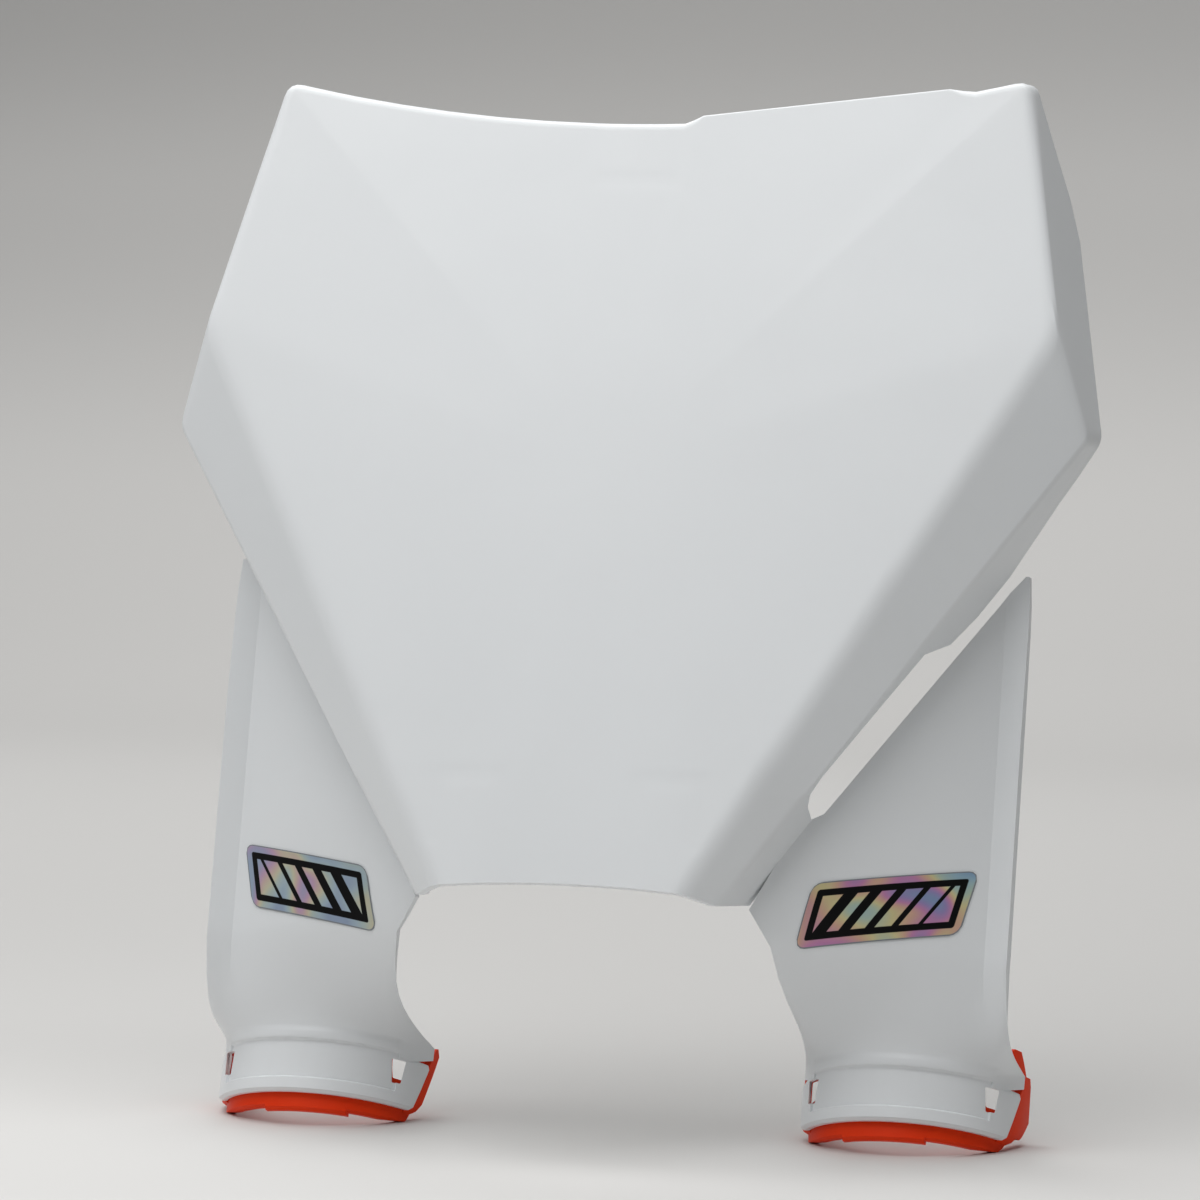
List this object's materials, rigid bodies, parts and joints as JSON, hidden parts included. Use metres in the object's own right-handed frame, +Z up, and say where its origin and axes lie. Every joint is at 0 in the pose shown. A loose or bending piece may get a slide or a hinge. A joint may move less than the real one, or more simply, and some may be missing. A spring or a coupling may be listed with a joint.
{
  "type": "racing number board",
  "caption": "White faceted front number board for a motocross bike, on two legs that clasp the fork tubes through orange saddles.",
  "frame": {"origin": "midway between the two fork tubes' axes, level with the lower edge of the bands at the legs' feet", "axes": "+X to the right as seen from in front of the bike, +Y from the face back towards the rider, +Z up; the fork tubes lean back by 22.4 degrees, as they do on the bike"},
  "size_m": [0.2972, 0.1061, 0.3232],
  "materials": {
    "white_plastic": "satin",
    "orange_rubber": "satin",
    "foil": "gloss"
  },
  "bodies": {
    "root": {"number_board": "white_plastic", "left_saddle": "orange_rubber", "right_saddle": "orange_rubber", "left_decal": "foil", "right_decal": "foil"}
  },
  "joints": []
}
